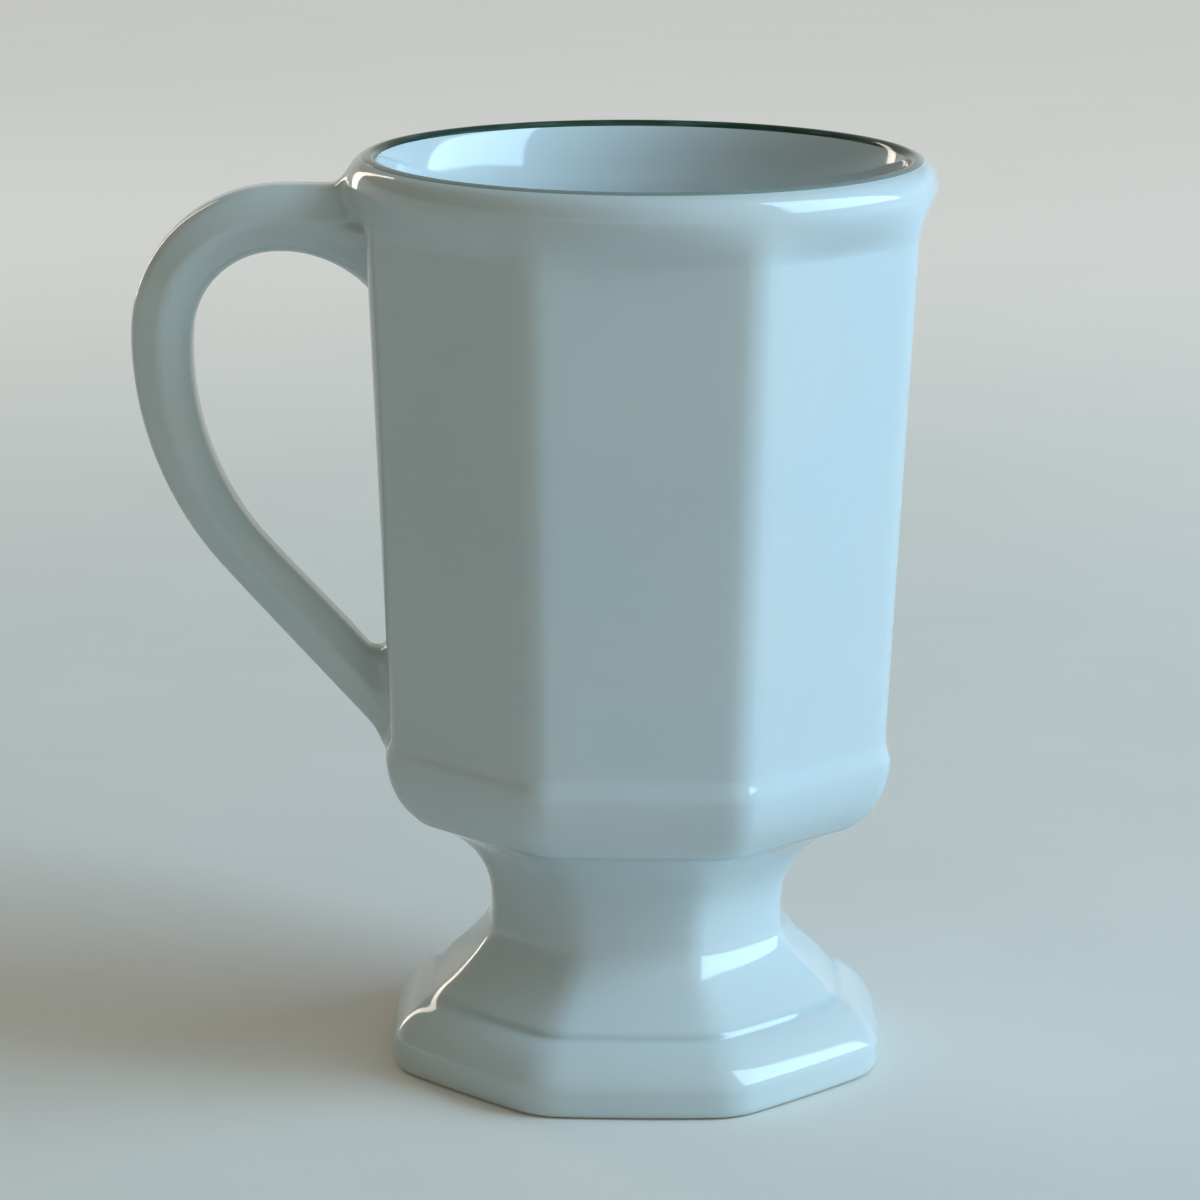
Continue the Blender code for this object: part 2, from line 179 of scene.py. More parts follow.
def rounded_octagon(name, apothem, height, corner):
    """Starts a piece as a level octagon on the axis of the mug, with rounded corners and divided sides."""
    bpy.ops.object.select_all(action="DESELECT")
    bpy.ops.mesh.primitive_circle_add(
        vertices=SIDES,
        radius=apothem / math.cos(SIDE_TURN),
        fill_type="NGON",
        location=(AXIS_X, 0, height),
        rotation=(0, 0, SIDE_TURN),
    )
    bpy.ops.object.transform_apply(location=True, rotation=True, scale=True)
    bpy.context.object.name = name
    bpy.ops.object.mode_set(mode="EDIT")
    bpy.ops.mesh.select_all(action="SELECT")
    bpy.ops.mesh.bevel(offset=corner * math.tan(SIDE_TURN), segments=CORNER_STEPS, affect="VERTICES")
    pick("EDGE", lambda edge: edge_length(edge) > corner)
    bpy.ops.mesh.subdivide(number_cuts=FLAT_STEPS - 1)
    bpy.ops.mesh.select_mode(type="FACE")
    bpy.ops.mesh.select_all(action="SELECT")
    return bpy.context.object


def chosen_points():
    """The places of the selected vertices of the mesh in hand."""
    shape = bmesh.from_edit_mesh(bpy.context.object.data)
    return [vertex.co.copy() for vertex in shape.verts if vertex.select]


def draw_out(apothem, height, rounding=0):
    """Extrudes the selected cap to a height, rounds its outline by a share and sizes it to an apothem."""
    rise = height - chosen_points()[0].z
    bpy.ops.mesh.extrude_region_move(TRANSFORM_OT_translate={"value": (0, 0, rise)})
    if rounding:
        bpy.ops.transform.tosphere(value=rounding)
    growth = apothem / min(math.hypot(point.x - AXIS_X, point.y) for point in chosen_points())
    bpy.ops.transform.resize(value=(growth, growth, 1), center_override=(AXIS_X, 0, height))


def soften_piece():
    """Ends the modelling of the piece in hand: faces outwards, one subdivision, smooth shading."""
    bpy.ops.mesh.select_all(action="SELECT")
    bpy.ops.mesh.normals_make_consistent(inside=False)
    bpy.ops.object.mode_set(mode="OBJECT")
    soften = bpy.context.object.modifiers.new("soften", "SUBSURF")
    soften.levels = 1
    soften.render_levels = 1
    bpy.ops.object.modifier_apply(modifier=soften.name)
    bpy.ops.object.shade_smooth()


roll = (ROLL_APOTHEM, ROLL_Z)
facet_low = (FACET_LOW_APOTHEM, FACET_LOW_Z)
facet_top = (FACET_TOP_APOTHEM, FACET_TOP_Z)
bead = (BEAD_RADIUS, BEAD_Z)
lip = (LIP_RADIUS, LIP_Z)
bowl = rounded_octagon("glazed_bowl", BOWL_BASE[0] - EDGE_INSET, BOWL_BASE[1], BOWL_CORNER)
wall_profile = [BOWL_BASE, BELLY_LOW]
wall_profile += bend(BELLY_LOW, BELLY_PULL, roll)
wall_profile += swell(roll, facet_low)
wall_profile += straight(facet_low, facet_top, rings=10)
for apothem, height in wall_profile:
    draw_out(apothem, height)
flare_profile = bend(facet_top, FLARE_PULL, FLARE_MIDDLE)
flare_profile += bend(FLARE_MIDDLE, BEAD_LOW_PULL, bead)
roundness = 0
for apothem, height in flare_profile:
    rounder = (apothem - FACET_TOP_APOTHEM) / (BEAD_RADIUS - FACET_TOP_APOTHEM)
    draw_out(apothem, height, 1 - (1 - rounder) / (1 - roundness))
    roundness = rounder
mouth_profile = bend(bead, BEAD_PULL, LIP_OUTER)
mouth_profile += bend(LIP_OUTER, LIP_OUTER_PULL, lip, rings=3)
mouth_profile += bend(lip, LIP_INNER_PULL, LIP_INNER, rings=6)
mouth_profile += bend(LIP_INNER, MOUTH_PULL, INNER_TOP)
mouth_profile += straight(INNER_TOP, INNER_LOW, rings=8)
mouth_profile += bend(INNER_LOW, (INNER_LOW[0], FLOOR_Z), (INNER_LOW[0] - FLOOR_ROUNDING, FLOOR_Z))
for radius, height in mouth_profile:
    draw_out(radius, height)
for radius in FLOOR_RINGS:
    draw_out(radius, FLOOR_Z)
soften_piece()

# Gloss glaze: an opaque white stoneware glaze fired over cast clay. To the eye it is a cool white with
# mirror-sharp highlights that ripple a little, and paler where it ran thin. In the foot's crease and in the
# neck joint it is painted darker and bluer, partly pooled glaze and partly painted shade of the creases.
GLAZE_WHITE = "CDDBE1"
GLAZE_THIN = "D3DDDF"
GLAZE_POOLED_SHADE = "B3C8D2"
GLAZE_IOR = 1.52
GLAZE_SHARP = 0.05
GLAZE_SOFT = 0.1
RUN_SIZE = 34 * MM
THIN_FROM = 0.35
SOFT_FROM = 0.3
RUN_FULL = 0.7
RIPPLE_SIZE = 9 * MM
RIPPLE_HEIGHT = 0.055 * MM
PEEL_SIZE = 1.6 * MM
PEEL_HEIGHT = 0.0016 * MM
POOL_SHADE_HEIGHTS = (11.0 * MM, 39.3 * MM)
POOL_SHADE_REACH = 1.0 * MM
POOL_SHADE_SHARE = 0.45
# The colour sockets of a Mix node go by number, because its other kinds use the same names.
MIX_SHARE = 0
MIX_FIRST = 6
MIX_SECOND = 7
MIX_RESULT = 2


def linear(hex_colour):
    """An sRGB hex colour as linear red, green, blue and alpha."""
    shares = [int(hex_colour[start : start + 2], 16) / 255 for start in (0, 2, 4)]
    return [s / 12.92 if s <= 0.04045 else ((s + 0.055) / 1.055) ** 2.4 for s in shares] + [1]


def add_node(tree, kind, settings, inputs):
    """Adds a node with its settings, and sets or links its inputs."""
    node = tree.nodes.new(kind)
    for name, value in settings.items():
        setattr(node, name, value)
    for name, value in inputs.items():
        if isinstance(value, bpy.types.NodeSocket):
            tree.links.new(value, node.inputs[name])
        else:
            node.inputs[name].default_value = value
    return node


def new_material(name):
    """An empty material, with only its output node."""
    material = bpy.data.materials.new(name)
    material.use_nodes = True
    material.node_tree.nodes.remove(material.node_tree.nodes["Principled BSDF"])
    return material


white_glaze = new_material("gloss_white_stoneware_glaze")
tree = white_glaze.node_tree
place = add_node(tree, "ShaderNodeTexCoord", {}, {}).outputs["Object"]
height = add_node(tree, "ShaderNodeSeparateXYZ", {}, {"Vector": place}).outputs["Z"]
runs = add_node(tree, "ShaderNodeTexNoise", {}, {"Vector": place, "Scale": 1 / RUN_SIZE, "Detail": 3})
thin = add_node(
    tree,
    "ShaderNodeMapRange",
    {},
    {"Value": runs.outputs["Fac"], "From Min": THIN_FROM, "From Max": RUN_FULL},
)
glaze_colour = add_node(
    tree,
    "ShaderNodeMix",
    {"data_type": "RGBA"},
    {MIX_SHARE: thin.outputs["Result"], MIX_FIRST: linear(GLAZE_WHITE), MIX_SECOND: linear(GLAZE_THIN)},
).outputs[MIX_RESULT]
# Painted shade: a darker, bluer band at the crease and joint heights, partly pooled glaze.
for shade_crease_height in POOL_SHADE_HEIGHTS:
    off = add_node(tree, "ShaderNodeMath", {"operation": "SUBTRACT"}, {0: height, 1: shade_crease_height})
    near = add_node(tree, "ShaderNodeMath", {"operation": "ABSOLUTE"}, {0: off.outputs[0]})
    crease_shade = add_node(
        tree,
        "ShaderNodeMapRange",
        {"interpolation_type": "SMOOTHSTEP"},
        {
            "Value": near.outputs[0],
            "From Min": 0,
            "From Max": POOL_SHADE_REACH,
            "To Min": POOL_SHADE_SHARE,
            "To Max": 0,
        },
    )
    glaze_colour = add_node(
        tree,
        "ShaderNodeMix",
        {"data_type": "RGBA"},
        {MIX_SHARE: crease_shade.outputs["Result"], MIX_FIRST: glaze_colour, MIX_SECOND: linear(GLAZE_POOLED_SHADE)},
    ).outputs[MIX_RESULT]
ripple = add_node(tree, "ShaderNodeTexNoise", {}, {"Vector": place, "Scale": 1 / RIPPLE_SIZE, "Detail": 1})
ripple_bump = add_node(
    tree, "ShaderNodeBump", {}, {"Height": ripple.outputs["Fac"], "Distance": RIPPLE_HEIGHT}
)
peel = add_node(tree, "ShaderNodeTexNoise", {}, {"Vector": place, "Scale": 1 / PEEL_SIZE, "Detail": 2})
peel_bump = add_node(
    tree,
    "ShaderNodeBump",
    {},
    {"Height": peel.outputs["Fac"], "Distance": PEEL_HEIGHT, "Normal": ripple_bump.outputs["Normal"]},
)
gloss = add_node(
    tree,
    "ShaderNodeMapRange",
    {},
    {
        "Value": runs.outputs["Fac"],
        "From Min": SOFT_FROM,
        "From Max": RUN_FULL,
        "To Min": GLAZE_SHARP,
        "To Max": GLAZE_SOFT,
    },
)
shader = add_node(
    tree,
    "ShaderNodeBsdfPrincipled",
    {},
    {
        "Base Color": glaze_colour,
        "Roughness": gloss.outputs["Result"],
        "IOR": GLAZE_IOR,
        "Normal": peel_bump.outputs["Normal"],
    },
)
tree.links.new(shader.outputs["BSDF"], tree.nodes["Material Output"].inputs["Surface"])
bowl.data.materials.append(white_glaze)
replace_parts(bowl, "bowl")
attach(bowl, "root")
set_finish(bowl, "white_glaze")

# Pedestal: the slip-cast foot of the same stoneware, an octagon that coves in to a rounded neck and is
# hollow underneath. It is luted under the bowl and glazed with it, and its foot ring is wiped bare.
FOOT_CORNER = 8.0 * MM
FOOT_APOTHEM = 37.7 * MM
FOOT_BAND_Z = 4.8 * MM
FOOT_EDGE = (37.5 * MM, 1.6 * MM)
RING_OUTER = 35.9 * MM
RING_INNER = 30.3 * MM
RING_LIFT = 0.3 * MM
FOOT_PULL = (35.65 * MM, 8.8 * MM)
CREASE = (31.6 * MM, 10.5 * MM)
RISER_TOP = (31.25 * MM, 11.4 * MM)
FADE_SIDE = 19.0 * MM
FADE_RADIUS = 26.6 * MM
FADE_BELOW = 0.7 * MM
FADE_ABOVE = 0.6 * MM
FADE_SHARE = 0.5
FADE_TIMES = 14
COVE_PULL = (22.6 * MM, 18.6 * MM)
WAIST_APOTHEM = 22.6 * MM
WAIST_LOW_Z = 22.2 * MM
WAIST_TOP_Z = 25.2 * MM
NECK_PULL = (22.6 * MM, 34.3 * MM)
NECK_TOP = (32.5 * MM, 38.8 * MM)
NECK_LIP = (33.0 * MM, 39.05 * MM)
FOOT_ROUNDNESS = 0.16
NECK_ROUNDNESS = 0.2
DECK_RING = 26.0 * MM
HOLLOW_PULL = (17.6 * MM, 11.0 * MM)
HOLLOW_SIDE = (17.6 * MM, 25.8 * MM)
HOLLOW_TOP = (10.6 * MM, 32.8 * MM)
HOLLOW_RINGS = (6.0 * MM, 2.0 * MM)
BASE_FACING = -0.9
BASE_REACH = 0.01 * MM


def in_side_crease(vertex):
    """Whether a vertex lies in the crease of the foot, on the handle's side or opposite it."""
    near_crease = CREASE[1] - FADE_BELOW < vertex.co.z < RISER_TOP[1] + FADE_ABOVE
    outside = math.hypot(vertex.co.x - AXIS_X, vertex.co.y) > FADE_RADIUS
    return near_crease and outside and abs(vertex.co.y) < FADE_SIDE


foot_band = (FOOT_APOTHEM, FOOT_BAND_Z)
waist_low = (WAIST_APOTHEM, WAIST_LOW_Z)
waist_top = (WAIST_APOTHEM, WAIST_TOP_Z)
pedestal = rounded_octagon("glazed_pedestal", RING_OUTER, 0, FOOT_CORNER)
bpy.ops.transform.tosphere(value=FOOT_ROUNDNESS)
foot_profile = bend((RING_OUTER, 0), (FOOT_EDGE[0], 0), FOOT_EDGE, rings=4)
foot_profile += straight(FOOT_EDGE, foot_band, rings=3)
foot_profile += bend(foot_band, FOOT_PULL, CREASE)
foot_profile += straight(CREASE, RISER_TOP, rings=2)
for apothem, height in foot_profile:
    draw_out(apothem, height)
cove_profile = bend(RISER_TOP, COVE_PULL, waist_low, rings=10)
for apothem, height in cove_profile:
    draw_out(apothem, height, NECK_ROUNDNESS / len(cove_profile))
neck_profile = straight(waist_low, waist_top, rings=2)
neck_profile += bend(waist_top, NECK_PULL, NECK_TOP, rings=10)
neck_profile += [NECK_LIP, (NECK_LIP[0] - EDGE_INSET, NECK_LIP[1]), (DECK_RING, NECK_LIP[1])]
for apothem, height in neck_profile:
    draw_out(apothem, height)
pick("FACE", lambda face: face.normal.z < BASE_FACING and abs(face.center.z) < BASE_REACH)
draw_out(RING_OUTER - EDGE_INSET, 0)
draw_out(RING_INNER + EDGE_INSET, 0)
draw_out(RING_INNER, RING_LIFT, 1)
hollow_profile = bend((RING_INNER, RING_LIFT), HOLLOW_PULL, (HOLLOW_PULL[0], WAIST_LOW_Z))
hollow_profile += [HOLLOW_SIDE]
hollow_profile += bend(HOLLOW_SIDE, (HOLLOW_SIDE[0], HOLLOW_TOP[1]), HOLLOW_TOP, rings=6)
for radius, height in hollow_profile:
    draw_out(radius, height)
for radius in HOLLOW_RINGS:
    draw_out(radius, HOLLOW_TOP[1])
# The glaze fills the crease over the corners at the handle and opposite it, so it fades out there.
pick("VERT", in_side_crease)
bpy.ops.mesh.vertices_smooth(factor=FADE_SHARE, repeat=FADE_TIMES)
soften_piece()

# Bare foot ring: fired stoneware, with the glaze wiped off before the kiln so that it doesn't stick to the
# shelf. To the eye it is a dry buff with a sandy grain.
CLAY_BUFF = "C9BBA3"
CLAY_DARK = "A8977C"
CLAY_ROUGHNESS = 0.85
SAND_SIZE = 0.7 * MM
SAND_HEIGHT = 0.05 * MM
BARE_FACING = -0.8
BARE_REACH = 0.2 * MM
bare_clay = new_material("wiped_bare_stoneware_clay")
tree = bare_clay.node_tree
place = add_node(tree, "ShaderNodeTexCoord", {}, {}).outputs["Object"]
sand = add_node(tree, "ShaderNodeTexNoise", {}, {"Vector": place, "Scale": 1 / SAND_SIZE, "Detail": 4})
clay_colour = add_node(
    tree,
    "ShaderNodeMix",
    {"data_type": "RGBA"},
    {MIX_SHARE: sand.outputs["Fac"], MIX_FIRST: linear(CLAY_BUFF), MIX_SECOND: linear(CLAY_DARK)},
)
sand_bump = add_node(tree, "ShaderNodeBump", {}, {"Height": sand.outputs["Fac"], "Distance": SAND_HEIGHT})
shader = add_node(
    tree,
    "ShaderNodeBsdfPrincipled",
    {},
    {
        "Base Color": clay_colour.outputs[MIX_RESULT],
        "Roughness": CLAY_ROUGHNESS,
        "Normal": sand_bump.outputs["Normal"],
    },
)
tree.links.new(shader.outputs["BSDF"], tree.nodes["Material Output"].inputs["Surface"])
pedestal.data.materials.append(white_glaze)
pedestal.data.materials.append(bare_clay)
for face in pedestal.data.polygons:
    if face.normal.z < BARE_FACING and face.center.z < BARE_REACH:
        face.material_index = 1
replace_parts(pedestal, "pedestal")
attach(pedestal, "root")
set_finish(pedestal, "white_glaze")

# Neck joint: the luting slip squeezed out between bowl and pedestal and wiped round with a finger. It is
# a fine groove under the glaze, which the two castings close in on.
JOINT_CORNER = 4.6 * MM
JOINT_PULL = (33.1 * MM, 39.25 * MM)
JOINT_TOP = (33.7 * MM, 39.6 * MM)
neck_joint = rounded_octagon("neck_joint", NECK_TOP[0], NECK_TOP[1], JOINT_CORNER)
for apothem, height in bend(NECK_TOP, JOINT_PULL, JOINT_TOP, rings=5):
    draw_out(apothem, height)
draw_out(NECK_TOP[0], JOINT_TOP[1])
soften_piece()
neck_joint.data.materials.append(white_glaze)
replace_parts(neck_joint, "neck_slip")
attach(neck_joint, "root")
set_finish(neck_joint, "slip_under_glaze")

# Handle: a solid cast bar with a six-sided section, bent over a round shoulder, a wider back and a
# straight lower run. It is cut to the wall and luted on, and the roots are smoothed into fillets.
HANDLE_REACH = 77.3 * MM
HANDLE_TOP_Z = LIP_Z - 4.7 * MM
SHOULDER_RADIUS = 23.0 * MM
RUN_LENGTH = 35.5 * MM
HANDLE_FOOT = Vector((AXIS_X - ROLL_APOTHEM, 0, ROLL_Z + 0.2 * MM))
HANDLE_SIDES = 6
TOP_THICKNESS = 10.1 * MM
BACK_THICKNESS = 9.4 * MM
LOW_THICKNESS = 7.6 * MM
RUN_SPARE = 2 * LOW_THICKNESS
RUN_SWELL = 1.13
TOP_DEPTH = 13.0 * MM
BACK_DEPTH = 12.5 * MM
LOW_DEPTH = 11.5 * MM
HANDLE_FACE = 7.5 * MM
RIDGE_SHARE = 18
EDGE_SHARE = 26
EDGE_STEPS = 3
FACE_CUTS = 2
OFF_RIDGE = TOP_THICKNESS / 4
ON_FACE = TOP_THICKNESS / 2.1
LONG_EDGE = TOP_THICKNESS / 5
UPPER_WALL_X = AXIS_X - FACET_TOP_APOTHEM
LOWER_WALL_X = AXIS_X - FACET_LOW_APOTHEM
ROOT_RINGS = 10
SHOULDER_RINGS = 12
BACK_RINGS = 9
LOWER_RINGS = 9
LOWER_REACH = 8.0 * MM
IN_WALL = 0.5 * MM
SPLIT_GAP = 0.5 * MM
FILLET = 2.2 * MM
TOP_FILLET = 3.2 * MM
ARCH_RADIUS = 17.3 * MM
ARCH_REACH = 13.3 * MM
CROTCH_FILLET = 2.3 * MM
OUTER_FILLET = 9.0 * MM
LEAST_OUTWARD = 0.1
PLACE_DIGITS = 7

shoulder = Vector((AXIS_X - HANDLE_REACH + SHOULDER_RADIUS, 0, HANDLE_TOP_Z - SHOULDER_RADIUS))
across = HANDLE_FOOT.x - (AXIS_X - HANDLE_REACH)
drop = shoulder.z - HANDLE_FOOT.z
tangent = (across**2 + drop**2 - RUN_LENGTH**2) / (2 * (RUN_LENGTH + drop))
lean = math.atan2(across, drop - tangent)
back_radius = tangent / math.tan(lean / 2)
back = Vector((AXIS_X - HANDLE_REACH + back_radius, 0, shoulder.z))
root_reach = UPPER_WALL_X - shoulder.x
middle_z = HANDLE_TOP_Z - TOP_THICKNESS / 2

bpy.ops.object.select_all(action="DESELECT")
bpy.ops.mesh.primitive_circle_add(
    vertices=HANDLE_SIDES,
    radius=TOP_DEPTH / 2,
    fill_type="NGON",
    location=(UPPER_WALL_X + IN_WALL, 0, middle_z),
    rotation=(0, math.pi / 2, 0),
)
bpy.ops.object.transform_apply(location=True, rotation=True, scale=True)
handle = bpy.context.object
handle.name = "glazed_handle"
pick("VERT", lambda vertex: abs(vertex.co.z - middle_z) > OFF_RIDGE)
hexagon_height = TOP_DEPTH * math.sin(2 * math.pi / HANDLE_SIDES)
bpy.ops.transform.resize(
    value=(1, 2 * HANDLE_FACE / TOP_DEPTH, TOP_THICKNESS / hexagon_height),
    center_override=(0, 0, middle_z),
)
pick("VERT", lambda vertex: abs(vertex.co.z - middle_z) < OFF_RIDGE)
bpy.ops.mesh.bevel(
    offset_type="PERCENT", offset_pct=RIDGE_SHARE, segments=EDGE_STEPS, affect="VERTICES"
)
pick("VERT", lambda vertex: abs(vertex.co.z - middle_z) > ON_FACE)
bpy.ops.mesh.bevel(offset_type="PERCENT", offset_pct=EDGE_SHARE, segments=EDGE_STEPS, affect="VERTICES")
pick("EDGE", lambda edge: edge_length(edge) > LONG_EDGE)
bpy.ops.mesh.subdivide(number_cuts=FACE_CUTS)
bpy.ops.mesh.select_mode(type="FACE")
bpy.ops.mesh.select_all(action="SELECT")
reached_x = UPPER_WALL_X + IN_WALL
for ring in range(ROOT_RINGS + 1):
    ring_x = UPPER_WALL_X - root_reach * (ring / ROOT_RINGS) ** 2
    bpy.ops.mesh.extrude_region_move(TRANSFORM_OT_translate={"value": (ring_x - reached_x, 0, 0)})
    reached_x = ring_x
turned = math.pi / 2
for centre, radius, angle, rings, thickness_share, depth_share in (
    (
        shoulder,
        SHOULDER_RADIUS,
        math.pi / 2,
        SHOULDER_RINGS,
        BACK_THICKNESS / TOP_THICKNESS,
        BACK_DEPTH / TOP_DEPTH,
    ),
    (
        back,
        back_radius,
        lean,
        BACK_RINGS,
        LOW_THICKNESS / BACK_THICKNESS,
        LOW_DEPTH / BACK_DEPTH,
    ),
):
    thinner = thickness_share ** (1 / rings)
    narrower = depth_share ** (1 / rings)
    for _ in range(rings):
        turned += angle / rings
        outer_edge = centre + radius * Vector((math.cos(turned), 0, math.sin(turned)))
        bpy.ops.mesh.extrude_region_move(TRANSFORM_OT_translate={"value": (0, 0, 0)})
        bpy.ops.transform.rotate(value=angle / rings, orient_axis="Y", center_override=centre)
        bpy.ops.transform.resize(value=(thinner, narrower, thinner), center_override=outer_edge)
run = Vector((math.sin(lean), 0, -math.cos(lean)))
inward = Vector((math.cos(lean), 0, math.sin(lean)))
past_wall = run * (RUN_LENGTH + RUN_SPARE)
bpy.ops.mesh.extrude_region_move(TRANSFORM_OT_translate={"value": past_wall})
run_end = outer_edge + past_wall + inward * LOW_THICKNESS / 2
bpy.ops.transform.resize(value=(RUN_SWELL, 1, RUN_SWELL), center_override=run_end)
for ring in range(LOWER_RINGS + 1):
    plane_x = LOWER_WALL_X - LOWER_REACH * (ring / LOWER_RINGS) ** 2
    pick("FACE", lambda face: face.center.z < shoulder.z)
    bpy.ops.mesh.bisect(plane_co=(plane_x, 0, 0), plane_no=(1, 0, 0))
pick("FACE", lambda face: face.center.z < shoulder.z)
bpy.ops.mesh.bisect(
    plane_co=(LOWER_WALL_X + IN_WALL, 0, 0), plane_no=(1, 0, 0), clear_outer=True, use_fill=True
)
soften_piece()


def fillet_out(gap, radius, stand, rise):
    """How far the arc of a fillet stands out at a gap from the wall.

    Its centre stands off the wall, and it runs out into a surface that rises away from the wall.
    """
    slant = math.hypot(1, rise)
    if gap > stand + radius * rise / slant:
        return 0
    return rise * (stand - gap) + radius * slant - math.sqrt(radius**2 - (gap - stand) ** 2)


# The roots meet a curved wall, so each is drawn to it point by point: spread out by its fillet and moved
# along x onto the bowl. The faces next to the wall are noted first, since they become the slip joints.
root_faces = {"upper": set(), "lower": set()}
for face in handle.data.polygons:
    if face.center.z > shoulder.z and face.center.x > UPPER_WALL_X - SPLIT_GAP:
        root_faces["upper"].add(face.index)
    if face.center.z < shoulder.z and face.center.x > LOWER_WALL_X - SPLIT_GAP:
        root_faces["lower"].add(face.index)
outward_of = [Vector((0, vertex.normal.y, vertex.normal.z)) for vertex in handle.data.vertices]
for vertex, outward in zip(handle.data.vertices, outward_of):
    upper = vertex.co.z > shoulder.z
    if upper:
        wall_x, reach = UPPER_WALL_X, root_reach
        over_radius, over_stand = TOP_FILLET, TOP_FILLET
        under_radius, under_stand = ARCH_RADIUS, ARCH_REACH
    else:
        wall_x, reach = LOWER_WALL_X, LOWER_REACH
        over_radius, over_stand = CROTCH_FILLET, CROTCH_FILLET
        under_radius, under_stand = OUTER_FILLET, OUTER_FILLET
    gap = wall_x - vertex.co.x
    if gap > reach:
        continue
    if outward.length > LEAST_OUTWARD:
        outward.normalize()
    rising = max(0, outward.z)
    falling = max(0, -outward.z)
    radius = FILLET + (over_radius - FILLET) * rising + (under_radius - FILLET) * falling
    stand = FILLET + (over_stand - FILLET) * rising + (under_stand - FILLET) * falling
    rise = 0 if upper else outward.z / math.tan(lean)
    vertex.co += outward * fillet_out(max(0, gap), radius, stand, rise)
    from_left = Vector((cad_low.x - TOP_DEPTH, vertex.co.y, vertex.co.z))
    _, spot, _, _ = bowl.ray_cast(from_left, Vector((1, 0, 0)))
    share = max(0, gap / reach)
    vertex.co.x += (spot.x - wall_x) * (1 - eased(share))
handle.data.update()
# Handle and joints are one skin until they are parted, and keep its normals, so that no seam shows.
normal_at = {vertex.co.to_tuple(PLACE_DIGITS): vertex.normal.copy() for vertex in handle.data.vertices}
handle.data.materials.append(white_glaze)

# Slip at the roots: clay as thin as cream that holds each end of the handle on its facet. It is sponged
# out into the last of the fillet, and the same glaze covers it.
CAP_DEPTH = 0.4 * MM
CAP_SHARE = 0.5


def take(obj):
    """Selects one object alone, as the object in hand."""
    bpy.ops.object.select_all(action="DESELECT")
    obj.select_set(True)
    bpy.context.view_layer.objects.active = obj


def part_root(name, faces):
    """Parts some faces of the handle into a piece of their own."""
    take(handle)
    pick("FACE", lambda face: face.index in faces)
    bpy.ops.mesh.separate(type="SELECTED")
    bpy.ops.object.mode_set(mode="OBJECT")
    root = [obj for obj in bpy.context.selected_objects if obj != handle][0]
    root.name = name
    return root


def close_end(obj, upper, depth):
    """Closes the upper or lower open end of a piece with a cap that stands back inside it."""
    take(obj)
    bpy.ops.object.mode_set(mode="EDIT")
    bpy.ops.mesh.select_mode(type="EDGE")
    bpy.ops.mesh.select_all(action="DESELECT")
    bpy.ops.mesh.select_non_manifold()
    shape = bmesh.from_edit_mesh(obj.data)
    for edge in shape.edges:
        if edge.select and (edge.verts[0].co.z > shoulder.z) != upper:
            edge.select_set(False)
    rim = chosen_points()
    centre = sum(rim, Vector()) / len(rim)
    bpy.ops.mesh.extrude_edges_move(TRANSFORM_OT_translate={"value": (depth, 0, 0)})
    bpy.ops.transform.resize(value=(CAP_SHARE, CAP_SHARE, CAP_SHARE), center_override=centre)
    bpy.ops.mesh.edge_face_add()
    bpy.ops.object.mode_set(mode="OBJECT")


lower_joint = part_root("lower_handle_joint", root_faces["lower"])
upper_joint = part_root("upper_handle_joint", root_faces["upper"])
close_end(handle, True, -CAP_DEPTH)
close_end(handle, False, -CAP_DEPTH)
close_end(upper_joint, True, CAP_DEPTH)
close_end(lower_joint, False, CAP_DEPTH)
for piece, node, slot in (
    (handle, "handle", "white_glaze"),
    (upper_joint, "upper_handle_slip", "slip_under_glaze"),
    (lower_joint, "lower_handle_slip", "slip_under_glaze"),
):
    kept = [normal_at.get(vertex.co.to_tuple(PLACE_DIGITS), vertex.normal) for vertex in piece.data.vertices]
    piece.data.normals_split_custom_set_from_vertices(kept)
    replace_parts(piece, node)
    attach(piece, "root")
    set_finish(piece, slot)

# Rim line: a band of dark green underglaze, brushed round the lip on a wheel before glazing. It takes
# the faces of the lip, lifted by the thickness of the colour.
LINE_OUTER = 42.26 * MM
LINE_INNER = 40.03 * MM
LINE_LOW_Z = LIP_Z - 1.05 * MM
LINE_THICKNESS = 0.06 * MM
LINE_OFFSET = 0.5
LINE_EDGE_ANGLE = math.radians(40)


def on_lip(face):
    from_axis = math.hypot(face.center.x - AXIS_X, face.center.y)
    return LINE_INNER < from_axis < LINE_OUTER and face.center.z > LINE_LOW_Z


take(bowl)
pick("FACE", on_lip)
bpy.ops.mesh.duplicate()
bpy.ops.mesh.separate(type="SELECTED")
bpy.ops.object.mode_set(mode="OBJECT")
rim_line = [obj for obj in bpy.context.selected_objects if obj != bowl][0]
rim_line.name = "green_rim_line"
# The copied faces bring the bowl's own marks along, and these go.
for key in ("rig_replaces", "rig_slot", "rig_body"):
    del rim_line[key]
take(rim_line)
coat = rim_line.modifiers.new("coat", "SOLIDIFY")
coat.thickness = LINE_THICKNESS
coat.offset = LINE_OFFSET
bpy.ops.object.modifier_apply(modifier=coat.name)
bpy.ops.object.shade_smooth_by_angle(angle=LINE_EDGE_ANGLE)

